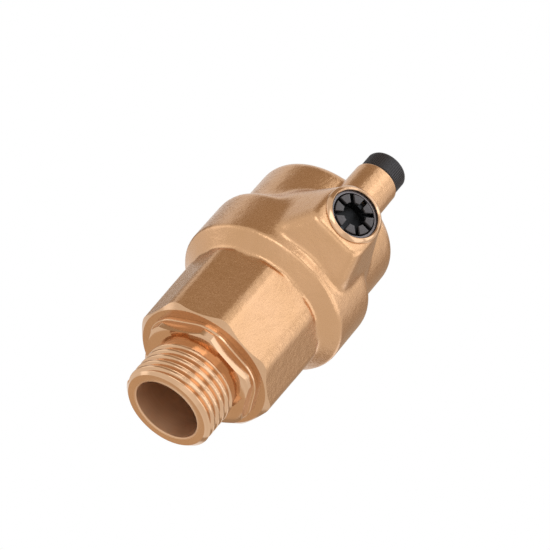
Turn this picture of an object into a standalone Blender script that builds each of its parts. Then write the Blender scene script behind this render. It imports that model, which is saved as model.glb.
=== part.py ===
"""Side-outlet automatic air release valve with a G 1/2 male inlet thread.

The origin is the centre of the inlet's end face and +Z runs up the main axis.
The side port faces -Y, and the vent post stands beside the main axis on that side.
A float hangs on a bell-crank lever whose rubber pad shuts a nozzle on the port's axis.
At rest the valve is dry: the float is down and the nozzle is open.
"""

import math

import bmesh
import bpy
from mathutils import Matrix, Vector

MM = 0.001

# Fits
GAP = 0.3 * MM
OVERCUT = 1.0 * MM
PIVOT_MARK = 5.0 * MM
ROUND_STEPS = 48
SMALL_STEPS = 24

# Inlet connector, turned from bar
THREAD_R = 10.478 * MM
THREAD_PITCH = 1.814 * MM
THREAD_DEPTH = 1.162 * MM
THREAD_ROOT_HALF = 0.15 * MM
THREAD_CUT_BEYOND = 0.2 * MM
THREAD_FLANK = math.radians(27.5)
THREAD_STEPS = 28
THREAD_START = -1.84 * MM
LEAD_DEPTH = 0.778 * MM
NECK_DEPTH = 1.278 * MM
NECK_LENGTH = 1.1 * MM
INLET_LENGTH = 11.2 * MM
INLET_WALL = 1.766 * MM
BORE_CHAMFER = 0.4 * MM
HEX_ACROSS_FLATS = 24.6 * MM
HEX_THICKNESS = 3.0 * MM
HEX_CORNER_R = 13.4 * MM
HEX_CHAMFER = 0.5 * MM
HEX_CHAMFER_RUN = 0.85 * MM
HEX_TURN = math.radians(36.9)
SHANK_R = 12.7 * MM
SHANK_LENGTH = 6.3 * MM
SHANK_CHAMFER = 0.5 * MM
SHANK_WALL = 2.5 * MM
SHANK_RECESS_DEPTH = 5.0 * MM
RIM_NOTCH_WIDTH = 3.0 * MM
RIM_NOTCH_DEPTH = 1.5 * MM
RIM_NOTCHES = 4
SEAL_LAND = 0.8 * MM

# O-rings, by the radius of the cord
CONNECTOR_SEAL_CORD = 0.5 * MM
SEAT_SEAL_CORD = 0.45 * MM
PLUG_SEAL_CORD = 0.5 * MM

# Housing, one casting
SKIRT_FLATS = 8
SKIRT_TURN = math.radians(6.0)
SKIRT_LOW_WALL = 2.65 * MM
SKIRT_HIGH_WALL = 2.95 * MM
SKIRT_CORNER_ROUND = 2.5 * MM
SKIRT_LENGTH = 20.0 * MM
SKIRT_FOOT_WALL = 2.4 * MM
SKIRT_LOW_CHAMFER = 1.7 * MM
SKIRT_TOP_CHAMFER = 1.15 * MM
SKIRT_TOP_INSET = 0.5 * MM
SKIRT_INTO_BULGE = 1.5 * MM
BULGE_STEP = 4.0 * MM
BULGE_UNDERSIDE = 3.3 * MM
BULGE_BAND = 11.0 * MM
BULGE_ROUND = 2.2 * MM
BULGE_EDGE_ROUND = 0.7 * MM
BULGE_EDGE_LIFT = 0.42 * MM
BULGE_FOOT_INSET = 0.2 * MM
DOME_STEP = 2.9 * MM
DOME_HEIGHT = 15.0 * MM
DOME_FILLET = 3.0 * MM
DOME_FOOT_FILLET = 0.8 * MM
WALL = 2.6 * MM
THROAT_STEP = 0.4 * MM
THROAT_RELIEF = 0.7 * MM
CHAMBER_SLOPE = 1.0 * MM
CHAMBER_ROOF_CHAMFER = 1.5 * MM

# Side port, on an axis along -Y
PORT_ABOVE_SHOULDER = 0.6 * MM
PORT_REACH = 10.05 * MM
PORT_PAD_R = 6.9 * MM
PORT_PAD_BELOW_AXIS = 8.0 * MM
PORT_PAD_SLOPE = math.radians(25.0)
PORT_PAD_EDGE = 0.6 * MM
PORT_COLLAR_R = 6.65 * MM
PORT_COLLAR_LENGTH = 1.3 * MM
PORT_RIM_ROUND = 0.55 * MM
PORT_BORE_R = 5.55 * MM
PORT_BORE_DEPTH = 5.6 * MM
PORT_BORE_CHAMFER = 0.3 * MM
RING_GROOVE_R = 5.95 * MM
RING_GROOVE_WIDTH = 1.2 * MM
RING_GROOVE_SETBACK = 0.6 * MM
CAVITY_R = 4.6 * MM
CAVITY_FLOOR_INSET = 1.05 * MM
SEAT_BOSS_R = 6.2 * MM
SEAT_BOSS_LENGTH = 2.6 * MM
SEAT_BOSS_ROOT = 3.0 * MM

# Vent post and cap
POST_STANDOFF = 1.35 * MM
POST_BASE_R = 5.4 * MM
POST_TOP_R = 5.22 * MM
POST_ABOVE_DOME = 2.2 * MM
POST_EDGE = 0.35 * MM
NIPPLE_R = 3.2 * MM
NIPPLE_LENGTH = 2.7 * MM
VENT_R = 1.6 * MM
CAP_R = 4.8 * MM
CAP_ROOF = 0.9 * MM
CAP_EDGE = 0.45 * MM
CAP_RIBS = 60
CAP_RIB_DEPTH = 0.14 * MM
CAP_GASKET_THICKNESS = 0.7 * MM

# Plug in the port
PLUG_BODY_LENGTH = 3.5 * MM
PLUG_FACE_SETBACK = 0.6 * MM
PLUG_FACE_R = 4.65 * MM
PLUG_SLOTS = 8
PLUG_SLOT_WIDTH = 0.9 * MM
PLUG_SLOT_DEPTH = 1.0 * MM
PLUG_HUB_R = 2.2 * MM
PLUG_HUB_DEPTH = 1.6 * MM
RING_INNER_R = 4.95 * MM
RING_THICKNESS = 0.6 * MM
RING_OPENING = 1.6 * MM

# Nozzle, pointing at the chamber
NOZZLE_HEAD_R = 3.9 * MM
NOZZLE_HEAD_THICKNESS = 1.5 * MM
NOZZLE_SHANK_R = 2.5 * MM
NOZZLE_LIP_R = 1.5 * MM
NOZZLE_LIP_LENGTH = 0.9 * MM
NOZZLE_BORE_R = 0.8 * MM
CLIP_R = 4.0 * MM
CLIP_THICKNESS = 0.4 * MM
CLIP_SLOTS = 6
CLIP_SLOT_WIDTH = 0.6 * MM
CLIP_TOOTH_LENGTH = 0.6 * MM

# Lever work
SHEET = 0.6 * MM
PIN_OFFSET = 8.5 * MM
PIN_DROP = 5.2 * MM
PIN_R = 0.75 * MM
PIN_HEAD_R = 1.3 * MM
PIN_HEAD_THICKNESS = 0.7 * MM
PIN_CLIP_R = 1.9 * MM
PIN_CLIP_THICKNESS = 0.4 * MM
OPEN_ANGLE = math.radians(18.0)
HUB_R = 1.6 * MM
HUB_HALF_LENGTH = 2.6 * MM
EAR_INNER_X = 3.6 * MM
EAR_REACH = 1.8 * MM
BRACKET_HALF_WIDTH = 4.5 * MM
BRACKET_ABOVE_NOZZLE = 3.2 * MM
STRAP_HALF_WIDTH = 2.0 * MM
SHELF_DROP = 11.6 * MM
SHELF_END = 3.0 * MM
SHELF_STUD_HEIGHT = 1.2 * MM
LEVER_PLATE_HALF_WIDTH = 2.3 * MM
LEVER_PLATE_ABOVE_NOZZLE = 2.4 * MM
LEVER_ARM_HALF_WIDTH = 1.6 * MM
LEVER_ARM_BEYOND_LINK = 2.7 * MM
LEVER_SLOT_HALF_WIDTH = 0.85 * MM
LEVER_SLOT_PLAY = 0.4 * MM
SHUTTER_R = 2.6 * MM
SHUTTER_THICKNESS = 1.2 * MM
SHUTTER_STEM_R = 0.9 * MM
SHUTTER_BUTTON_R = 1.5 * MM
SHUTTER_BUTTON_THICKNESS = 0.6 * MM
SPRING_OFFSET = 5.0 * MM
SPRING_R = 1.3 * MM
SPRING_WIRE_R = 0.25 * MM
SPRING_TURNS = 3.5
SPRING_POINTS_PER_TURN = 14

# Float
FLOAT_PLAY = 1.0 * MM
FLOAT_WALL = 1.2 * MM
FLOAT_BASE_THICKNESS = 1.2 * MM
FLOAT_TRAVEL = 3.0 * MM
FLOAT_SPIGOT_LENGTH = 1.8 * MM
FLOAT_BOSS_R = 2.2 * MM
FLOAT_BOSS_HEIGHT = 2.3 * MM
FLOAT_SOCKET_DEPTH = 1.7 * MM
LINK_R = 0.5 * MM
LINK_STUD_R = 0.9 * MM
LINK_DISC_R = 1.3 * MM
LINK_DISC_THICKNESS = 0.5 * MM

# Places that follow from the sizes
LEAD_R = THREAD_R - LEAD_DEPTH
NECK_R = THREAD_R - NECK_DEPTH
INLET_BORE_R = THREAD_R - THREAD_DEPTH - INLET_WALL
HEX_LOW = INLET_LENGTH
HEX_HIGH = HEX_LOW + HEX_THICKNESS
CONNECTOR_TOP = HEX_HIGH + SHANK_LENGTH
SHANK_RECESS_R = SHANK_R - SHANK_WALL
SEAT_R = SHANK_R + GAP
THROAT_R = SEAT_R + THROAT_STEP
FLOAT_R = SEAT_R - FLOAT_PLAY
HOUSING_LOW = HEX_HIGH + GAP
SKIRT_TOP = HOUSING_LOW + SKIRT_LENGTH
SKIRT_FOOT_R = SEAT_R + SKIRT_FOOT_WALL
SKIRT_LOW_R = SEAT_R + SKIRT_LOW_WALL
SKIRT_HIGH_R = SEAT_R + SKIRT_HIGH_WALL
BULGE_R = SKIRT_HIGH_R + BULGE_STEP
DOME_R = BULGE_R - DOME_STEP
BULGE_LOW = SKIRT_TOP + BULGE_UNDERSIDE
BULGE_HIGH = BULGE_LOW + BULGE_BAND
SHOULDER = BULGE_HIGH + BULGE_ROUND
DOME_TOP = SHOULDER + DOME_HEIGHT
PORT_Z = SHOULDER + PORT_ABOVE_SHOULDER
PORT_FACE = DOME_R + PORT_REACH
PAD_FACE = PORT_FACE - PORT_COLLAR_LENGTH
CAVITY_TOP = PORT_FACE - PORT_BORE_DEPTH
CAVITY_FLOOR = DOME_R - CAVITY_FLOOR_INSET
SEAT_BOSS_FACE = CAVITY_FLOOR - SEAT_BOSS_LENGTH
POST_OFFSET = DOME_R + POST_STANDOFF
POST_TOP = DOME_TOP + POST_ABOVE_DOME
PIN_Z = PORT_Z - PIN_DROP
BRACKET_FACE = SEAT_BOSS_FACE - GAP
CLIP_FACE = BRACKET_FACE - SHEET - GAP
NOZZLE_SHANK_END = CLIP_FACE - CLIP_THICKNESS - GAP
NOZZLE_TIP = NOZZLE_SHANK_END - NOZZLE_LIP_LENGTH
SHUTTER_FACE = NOZZLE_TIP - GAP
LEVER_PLATE_FACE = SHUTTER_FACE - SHUTTER_THICKNESS - GAP
FLOAT_LOW = CONNECTOR_TOP + GAP
SHELF_TOP = PORT_Z - SHELF_DROP + SHEET
FLOAT_TOP = SHELF_TOP - SHEET - GAP - FLOAT_TRAVEL
FLOAT_HEIGHT = FLOAT_TOP - FLOAT_LOW
NIPPLE_TOP = POST_TOP + NIPPLE_LENGTH
CAP_LOW = POST_TOP + GAP
CAP_CEILING = NIPPLE_TOP + CAP_GASKET_THICKNESS + 2 * GAP
CAP_LENGTH = CAP_CEILING + CAP_ROOF - CAP_LOW

# A local +Z that points out of the side port
PORT_TURN = Matrix.Rotation(math.radians(90), 4, "X")
PORT_PLACE = Matrix.Translation((0, 0, PORT_Z)) @ PORT_TURN
POST_PLACE = Matrix.Translation((0, -POST_OFFSET, 0))
PIN_PLACE = Matrix.Translation((0, -PIN_OFFSET, PIN_Z))
ALONG_X = Matrix.Rotation(math.radians(90), 4, "Y")


def clear_scene():
    for old in list(bpy.data.objects):
        bpy.data.objects.remove(old, do_unlink=True)


def material(name, colour, roughness, metallic=0.0):
    made = bpy.data.materials.new(name)
    made.use_nodes = True
    shader = made.node_tree.nodes["Principled BSDF"]
    shader.inputs["Base Color"].default_value = (*colour, 1.0)
    shader.inputs["Roughness"].default_value = roughness
    shader.inputs["Metallic"].default_value = metallic
    made.diffuse_color = (*colour, 1.0)
    return made


def arc(centre_r, centre_z, radius, start, end, steps=5):
    """Points on an arc in the profile plane, by angles in degrees from +R towards +Z."""
    points = []
    for index in range(steps + 1):
        angle = math.radians(start + (end - start) * index / steps)
        points.append((centre_r + radius * math.cos(angle), centre_z + radius * math.sin(angle)))
    return points


def turned(profile, steps=ROUND_STEPS):
    """A solid of revolution from (radius, height) points; ends on the axis stay open there."""
    bm = bmesh.new()
    corners = [bm.verts.new((radius, 0, height)) for radius, height in profile]
    edges = [bm.edges.new(pair) for pair in zip(corners, corners[1:])]
    touches_axis = profile[0][0] < 1e-9 and profile[-1][0] < 1e-9
    if not touches_axis:
        edges.append(bm.edges.new((corners[-1], corners[0])))
    bmesh.ops.spin(bm, geom=corners + edges, cent=(0, 0, 0), axis=(0, 0, 1),
                   angle=math.tau, steps=steps, use_merge=True)
    bmesh.ops.remove_doubles(bm, verts=bm.verts, dist=1e-7)
    bmesh.ops.recalc_face_normals(bm, faces=bm.faces)
    return bm


def rod(radius, low, high, steps=SMALL_STEPS):
    return turned([(0, low), (radius, low), (radius, high), (0, high)], steps)


def tube(inner, outer, low, high, steps=SMALL_STEPS):
    return turned([(inner, low), (outer, low), (outer, high), (inner, high)], steps)


def torus(radius, cord, height, steps=ROUND_STEPS, sides=8):
    return turned(arc(radius, height, cord, 0, 360 - 360 / sides, sides - 1), steps)


def block(low, high):
    """A box between two corners."""
    low, high = Vector(low), Vector(high)
    bm = bmesh.new()
    bmesh.ops.create_cube(bm, size=1)
    bmesh.ops.scale(bm, vec=high - low, verts=bm.verts)
    bmesh.ops.translate(bm, vec=(low + high) / 2, verts=bm.verts)
    return bm


def prism(sides, across_flats, low, high, turn=0.0, top_across_flats=None):
    """A prism with flats, whose first flat faces the given turn from +X."""
    top = top_across_flats or across_flats
    bm = bmesh.new()
    corner = across_flats / 2 / math.cos(math.pi / sides)
    made = bmesh.ops.create_cone(bm, cap_ends=True, segments=sides, radius1=corner,
                                 radius2=corner * top / across_flats, depth=high - low)
    first = max(made["verts"], key=lambda v: (v.co.x, v.co.y, v.co.z))
    start = math.atan2(first.co.y, first.co.x)
    bmesh.ops.rotate(bm, verts=bm.verts, cent=(0, 0, 0),
                     matrix=Matrix.Rotation(turn - start + math.pi / sides, 3, "Z"))
    bmesh.ops.translate(bm, vec=(0, 0, (low + high) / 2), verts=bm.verts)
    return bm


def round_upright_edges(bm, radius, segments):
    """Rounds the edges that run up the body."""
    upright = [edge for edge in bm.edges if abs(edge.verts[0].co.z - edge.verts[1].co.z) > radius]
    bmesh.ops.bevel(bm, geom=upright, offset=radius * math.tan(math.pi / SKIRT_FLATS), offset_type="OFFSET",
                    segments=segments, profile=0.5, affect="EDGES", material=-1, clamp_overlap=True)


def place_object(name, bm, parent=None, matrix=Matrix(), sharp=35):
    """Makes an object of a bmesh, shaded smooth, in its parent's own axes."""
    mesh = bpy.data.meshes.new(name)
    bm.to_mesh(mesh)
    bm.free()
    mesh.shade_smooth()
    mesh.set_sharp_from_angle(angle=math.radians(sharp))
    made = bpy.data.objects.new(name, mesh)
    bpy.context.collection.objects.link(made)
    if parent is not None:
        made.parent = parent
    made.matrix_local = matrix
    return made


def piece(name, bm, look, parent=None, matrix=Matrix(), sharp=35):
    made = place_object(name, bm, parent, matrix, sharp)
    made.data.materials.append(look)
    return made


def guide(name, bm, parent=None, matrix=Matrix()):
    """A solid that only cuts or joins another, and isn't a piece itself."""
    made = place_object(name, bm, parent, matrix)
    made.hide_render = True
    made.display_type = "WIRE"
    return made


def combine(target, operation, tool):
    change = target.modifiers.new(f"{operation.lower()} {tool.name}", "BOOLEAN")
    change.operation = operation
    change.object = tool
    change.solver = "EXACT"


def pivot(name, matrix):
    made = bpy.data.objects.new(name, None)
    made.empty_display_size = PIVOT_MARK
    bpy.context.collection.objects.link(made)
    made.matrix_world = matrix
    return made


def thread_groove():
    """The helical groove between the crests, as one long closed solid that starts below the end face."""
    root_r = THREAD_R - THREAD_DEPTH
    outer_r = THREAD_R + THREAD_CUT_BEYOND
    outer_half = THREAD_ROOT_HALF + (outer_r - root_r) * math.tan(THREAD_FLANK)
    turns = (INLET_LENGTH - NECK_LENGTH + GAP - THREAD_START) / THREAD_PITCH
    bm = bmesh.new()
    corners = [(root_r, -THREAD_ROOT_HALF), (outer_r, -outer_half), (outer_r, outer_half), (root_r, THREAD_ROOT_HALF)]
    verts = [bm.verts.new((radius, 0, THREAD_START + height)) for radius, height in corners]
    section = bm.faces.new(verts)
    steps = round(turns * THREAD_STEPS)
    bmesh.ops.spin(bm, geom=[section], cent=(0, 0, 0), axis=(0, 0, 1), dvec=(0, 0, turns * THREAD_PITCH / steps),
                   angle=math.tau * turns, steps=steps, use_merge=False)
    bmesh.ops.recalc_face_normals(bm, faces=bm.faces)
    return bm


def connector_blank():
    """The connector's turned outline, without thread, bore or hexagon."""
    neck_low = INLET_LENGTH - NECK_LENGTH
    profile = [(0, 0), (LEAD_R, 0), (THREAD_R, THREAD_R - LEAD_R), (THREAD_R, neck_low - (THREAD_R - NECK_R)),
               (NECK_R, neck_low), (NECK_R, HEX_LOW + GAP), (0, HEX_LOW + GAP)]
    return turned(profile)


def connector_shank():
    """The shank above the hexagon, with the seal's groove and a recess that lets water round the float."""
    groove_low = HEX_HIGH + SEAL_LAND
    groove_high = groove_low + 2 * (CONNECTOR_SEAL_CORD + GAP)
    groove_r = SHANK_R - 2 * CONNECTOR_SEAL_CORD - GAP
    outer = [(SHANK_R, HEX_HIGH - GAP), (SHANK_R, groove_low), (groove_r, groove_low), (groove_r, groove_high),
             (SHANK_R, groove_high), (SHANK_R, CONNECTOR_TOP - SHANK_CHAMFER),
             (SHANK_R - SHANK_CHAMFER, CONNECTOR_TOP)]
    return turned([(0, HEX_HIGH - GAP)] + outer + [(0, CONNECTOR_TOP)])


def make_connector(look):
    hexagon = prism(6, HEX_ACROSS_FLATS, HEX_LOW, HEX_HIGH, HEX_TURN)
    connector = piece("connector", hexagon, look, sharp=25)
    face_r = HEX_CORNER_R - HEX_CHAMFER_RUN
    envelope = turned([(0, HEX_LOW), (face_r, HEX_LOW), (HEX_CORNER_R, HEX_LOW + HEX_CHAMFER),
                       (HEX_CORNER_R, HEX_HIGH - HEX_CHAMFER), (face_r, HEX_HIGH), (0, HEX_HIGH)])
    combine(connector, "INTERSECT", guide("connector_hex_envelope", envelope))
    combine(connector, "UNION", guide("connector_inlet", connector_blank()))
    combine(connector, "UNION", guide("connector_shank", connector_shank()))
    combine(connector, "DIFFERENCE", guide("connector_thread_groove", thread_groove()))
    bore = turned([(0, -OVERCUT), (INLET_BORE_R + BORE_CHAMFER, -OVERCUT), (INLET_BORE_R + BORE_CHAMFER, 0),
                   (INLET_BORE_R, BORE_CHAMFER), (INLET_BORE_R, CONNECTOR_TOP - SHANK_RECESS_DEPTH),
                   (SHANK_RECESS_R, CONNECTOR_TOP - SHANK_RECESS_DEPTH + (SHANK_RECESS_R - INLET_BORE_R) / 2),
                   (SHANK_RECESS_R, CONNECTOR_TOP + OVERCUT), (0, CONNECTOR_TOP + OVERCUT)])
    combine(connector, "DIFFERENCE", guide("connector_bore", bore))
    for index in range(RIM_NOTCHES // 2):
        notch = block((-SHANK_R - OVERCUT, -RIM_NOTCH_WIDTH / 2, CONNECTOR_TOP - RIM_NOTCH_DEPTH),
                      (SHANK_R + OVERCUT, RIM_NOTCH_WIDTH / 2, CONNECTOR_TOP + OVERCUT))
        turn = Matrix.Rotation(math.tau * (index / RIM_NOTCHES + 1 / 8), 4, "Z")
        combine(connector, "DIFFERENCE", guide(f"connector_notch_{index}", notch, matrix=turn))
    return connector


def make_connector_seal(look):
    centre_z = HEX_HIGH + SEAL_LAND + CONNECTOR_SEAL_CORD + GAP
    return piece("connector_seal", torus(SHANK_R - CONNECTOR_SEAL_CORD, CONNECTOR_SEAL_CORD, centre_z), look)


def housing_round():
    """The casting's round part: underside of the bulge, its band, the shoulder and the domed cylinder."""
    foot_r = SKIRT_HIGH_R - BULGE_FOOT_INSET
    foot_low = SKIRT_TOP - OVERCUT
    profile = [(0, foot_low), (foot_r, foot_low), (foot_r, SKIRT_TOP + BULGE_FOOT_INSET)]
    profile += arc(BULGE_R - BULGE_EDGE_ROUND, BULGE_LOW + BULGE_EDGE_LIFT, BULGE_EDGE_ROUND, -50, 0, 2)
    profile += arc(BULGE_R - BULGE_ROUND, BULGE_HIGH, BULGE_ROUND, 0, 75, 4)
    foot = DOME_FOOT_FILLET
    profile += arc(DOME_R + foot, SHOULDER + foot, foot, 270, 180, 2)
    profile += arc(DOME_R - DOME_FILLET, DOME_TOP - DOME_FILLET, DOME_FILLET, 0, 90, 5)
    return turned(profile + [(0, DOME_TOP)])


def housing_skirt():
    """The octagonal skirt with rounded corners, drafted like the casting."""
    skirt = prism(SKIRT_FLATS, 2 * SKIRT_LOW_R, HOUSING_LOW, SKIRT_TOP + SKIRT_INTO_BULGE, SKIRT_TURN,
                  2 * SKIRT_HIGH_R)
    round_upright_edges(skirt, SKIRT_CORNER_ROUND, 3)
    return skirt


def chamber():
    """The hollow inside the housing, from the connector's seat up to the roof."""
    seat_high = CONNECTOR_TOP + THROAT_RELIEF
    bulge_r = BULGE_R - WALL
    dome_r = DOME_R - WALL
    roof = DOME_TOP - WALL
    return turned([(0, HOUSING_LOW - OVERCUT), (SEAT_R, HOUSING_LOW - OVERCUT), (SEAT_R, seat_high),
                   (THROAT_R, seat_high), (THROAT_R, SKIRT_TOP - CHAMBER_SLOPE),
                   (bulge_r, BULGE_LOW + CHAMBER_SLOPE), (bulge_r, BULGE_HIGH), (dome_r, SHOULDER),
                   (dome_r, roof - CHAMBER_ROOF_CHAMFER), (dome_r - CHAMBER_ROOF_CHAMFER, roof), (0, roof)])


def port_bore():
    """The port's machined inside, as distances from the main axis along the port's own axis."""
    groove_high = PORT_FACE - RING_GROOVE_SETBACK
    groove_low = groove_high - RING_GROOVE_WIDTH
    shank_hole = NOZZLE_SHANK_R + GAP
    chamfer = PORT_BORE_CHAMFER
    return turned([(0, SEAT_BOSS_FACE - OVERCUT), (shank_hole, SEAT_BOSS_FACE - OVERCUT), (shank_hole, CAVITY_FLOOR),
                   (CAVITY_R, CAVITY_FLOOR), (CAVITY_R, CAVITY_TOP), (PORT_BORE_R, CAVITY_TOP),
                   (PORT_BORE_R, groove_low), (RING_GROOVE_R, groove_low), (RING_GROOVE_R, groove_high),
                   (PORT_BORE_R, groove_high), (PORT_BORE_R, PORT_FACE - chamfer),
                   (PORT_BORE_R + chamfer, PORT_FACE), (PORT_BORE_R + chamfer, PORT_FACE + OVERCUT),
                   (0, PORT_FACE + OVERCUT)], 36)


def port_pad():
    """The lower, square half of the pad that the port stands on, sloping down to the bulge."""
    pad = block((-PORT_PAD_R, -PAD_FACE, PORT_Z - PORT_PAD_BELOW_AXIS), (PORT_PAD_R, -CAVITY_FLOOR, PORT_Z))
    for vert in pad.verts:
        if vert.co.y > -PAD_FACE + GAP and vert.co.z < PORT_Z - GAP:
            vert.co.z -= (PAD_FACE - CAVITY_FLOOR) * math.tan(PORT_PAD_SLOPE)
    front = [edge for edge in pad.edges if all(vert.co.y < -PAD_FACE + GAP for vert in edge.verts)
             and any(vert.co.z < PORT_Z - GAP for vert in edge.verts)]
    bmesh.ops.bevel(pad, geom=front, offset=PORT_PAD_EDGE, offset_type="OFFSET", segments=2, profile=0.5,
                    affect="EDGES", material=-1, clamp_overlap=True)
    return pad


def port_boss():
    """The pad's round upper half and the collar in front of it, on the port's own axis."""
    rim = PORT_RIM_ROUND
    return turned([(0, CAVITY_FLOOR), (PORT_PAD_R, CAVITY_FLOOR), (PORT_PAD_R, PAD_FACE - PORT_PAD_EDGE),
                   (PORT_COLLAR_R, PAD_FACE)]
                  + arc(PORT_COLLAR_R - rim, PORT_FACE - rim, rim, 0, 90, 3) + [(0, PORT_FACE)], 36)


def make_housing(look):
    housing = piece("housing", housing_skirt(), look, sharp=30)
    chamfer_end_r = SKIRT_HIGH_R - SKIRT_TOP_INSET
    corner_r = SKIRT_HIGH_R / math.cos(math.pi / SKIRT_FLATS)
    chamfer_low = SKIRT_TOP - SKIRT_TOP_CHAMFER
    chamfer_high = chamfer_low + corner_r - chamfer_end_r
    envelope = turned([(0, HOUSING_LOW), (SKIRT_FOOT_R, HOUSING_LOW), (corner_r, HOUSING_LOW + SKIRT_LOW_CHAMFER),
                       (corner_r, chamfer_low), (chamfer_end_r, chamfer_high), (0, chamfer_high)])
    combine(housing, "INTERSECT", guide("housing_skirt_envelope", envelope))
    combine(housing, "UNION", guide("housing_round", housing_round()))
    combine(housing, "UNION", guide("housing_port_pad", port_pad()))
    combine(housing, "UNION", guide("housing_port_boss", port_boss(), matrix=PORT_PLACE))
    post = turned([(0, PORT_Z), (POST_BASE_R, PORT_Z), (POST_TOP_R, POST_TOP - POST_EDGE),
                   (POST_TOP_R - POST_EDGE, POST_TOP), (NIPPLE_R, POST_TOP), (NIPPLE_R, NIPPLE_TOP - POST_EDGE),
                   (NIPPLE_R - POST_EDGE, NIPPLE_TOP), (0, NIPPLE_TOP)], 32)
    combine(housing, "UNION", guide("housing_vent_post", post, matrix=POST_PLACE))
    combine(housing, "DIFFERENCE", guide("housing_chamber", chamber()))
    seat_boss = rod(SEAT_BOSS_R, SEAT_BOSS_FACE, CAVITY_FLOOR + SEAT_BOSS_ROOT, 32)
    combine(housing, "UNION", guide("housing_seat_boss", seat_boss, matrix=PORT_PLACE))
    combine(housing, "DIFFERENCE", guide("housing_port_bore", port_bore(), matrix=PORT_PLACE))
    vent = rod(VENT_R, PORT_Z, NIPPLE_TOP + OVERCUT, 20)
    combine(housing, "DIFFERENCE", guide("housing_vent", vent, matrix=POST_PLACE))
    return housing


def make_nozzle(brass, rubber):
    """The valve seat, pushed in from the port, with its seal under the head."""
    under_head = CAVITY_FLOOR + 2 * (SEAT_SEAL_CORD + GAP)
    nozzle = [(NOZZLE_BORE_R, NOZZLE_TIP), (NOZZLE_LIP_R, NOZZLE_TIP), (NOZZLE_LIP_R, NOZZLE_SHANK_END),
              (NOZZLE_SHANK_R, NOZZLE_SHANK_END), (NOZZLE_SHANK_R, under_head), (NOZZLE_HEAD_R, under_head),
              (NOZZLE_HEAD_R, under_head + NOZZLE_HEAD_THICKNESS),
              (NOZZLE_BORE_R, under_head + NOZZLE_HEAD_THICKNESS)]
    piece("valve_seat", turned(nozzle, SMALL_STEPS), brass, matrix=PORT_PLACE)
    seal_r = NOZZLE_SHANK_R + GAP + SEAT_SEAL_CORD
    seal = torus(seal_r, SEAT_SEAL_CORD, CAVITY_FLOOR + GAP + SEAT_SEAL_CORD, SMALL_STEPS, 6)
    piece("seat_seal", seal, rubber, matrix=PORT_PLACE)


def make_bracket(steel):
    """The sheet bracket on the nozzle's shank, with two ears for the pin and a shelf for the spring."""
    back = -BRACKET_FACE
    front = back + SHEET
    ear_end = -PIN_OFFSET + EAR_REACH
    shelf_low = SHELF_TOP - SHEET
    plate = block((-BRACKET_HALF_WIDTH, back, PIN_Z - EAR_REACH),
                  (BRACKET_HALF_WIDTH, front, PORT_Z + BRACKET_ABOVE_NOZZLE))
    bracket = piece("lever_bracket", plate, steel)
    strap = block((-STRAP_HALF_WIDTH, back, shelf_low), (STRAP_HALF_WIDTH, front, PIN_Z))
    combine(bracket, "UNION", guide("bracket_strap", strap))
    shelf = block((-STRAP_HALF_WIDTH, back + SHEET / 2, shelf_low), (STRAP_HALF_WIDTH, -SHELF_END, SHELF_TOP))
    combine(bracket, "UNION", guide("bracket_shelf", shelf))
    stud = rod(SPRING_R - SPRING_WIRE_R - GAP, SHELF_TOP - SHEET / 2, SHELF_TOP + SHELF_STUD_HEIGHT, 16)
    combine(bracket, "UNION", guide("bracket_stud", stud, matrix=Matrix.Translation((0, -SPRING_OFFSET, 0))))
    for side in (-1, 1):
        low_x, high_x = sorted((side * EAR_INNER_X, side * (EAR_INNER_X + SHEET)))
        ear = block((low_x, back + SHEET / 2, PIN_Z - EAR_REACH), (high_x, ear_end, PIN_Z + EAR_REACH))
        combine(bracket, "UNION", guide(f"bracket_ear_{side}", ear))
    pin_hole = rod(PIN_R + GAP, -2 * BRACKET_HALF_WIDTH, 2 * BRACKET_HALF_WIDTH, 20)
    combine(bracket, "DIFFERENCE", guide("bracket_pin_hole", pin_hole, matrix=PIN_PLACE @ ALONG_X))
    nozzle_hole = rod(NOZZLE_SHANK_R + GAP, BRACKET_FACE - 2 * SHEET, BRACKET_FACE + SHEET, 24)
    combine(bracket, "DIFFERENCE", guide("bracket_nozzle_hole", nozzle_hole, matrix=PORT_PLACE))
    clip = piece("bracket_clip", tube(NOZZLE_SHANK_R + GAP, CLIP_R, CLIP_FACE - CLIP_THICKNESS, CLIP_FACE), steel,
                 matrix=PORT_PLACE)
    for index in range(CLIP_SLOTS):
        slot = block((0, -CLIP_SLOT_WIDTH / 2, CLIP_FACE - 2 * CLIP_THICKNESS),
                     (NOZZLE_SHANK_R + GAP + CLIP_TOOTH_LENGTH, CLIP_SLOT_WIDTH / 2, CLIP_FACE + CLIP_THICKNESS))
        turn = PORT_PLACE @ Matrix.Rotation(math.tau * index / CLIP_SLOTS, 4, "Z")
        combine(clip, "DIFFERENCE", guide(f"clip_slot_{index}", slot, matrix=turn))


def make_pin(steel):
    """The lever's pivot pin with its head, and the push-on clip at the other end."""
    end = EAR_INNER_X + SHEET + GAP
    clip_high = end + PIN_CLIP_THICKNESS
    pin = turned([(0, -end - PIN_HEAD_THICKNESS), (PIN_HEAD_R, -end - PIN_HEAD_THICKNESS), (PIN_HEAD_R, -end),
                  (PIN_R, -end), (PIN_R, clip_high + GAP), (0, clip_high + GAP)], 20)
    piece("lever_pin", pin, steel, matrix=PIN_PLACE @ ALONG_X)
    piece("pin_clip", tube(PIN_R + GAP, PIN_CLIP_R, end, clip_high, 20), steel, matrix=PIN_PLACE @ ALONG_X)


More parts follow.
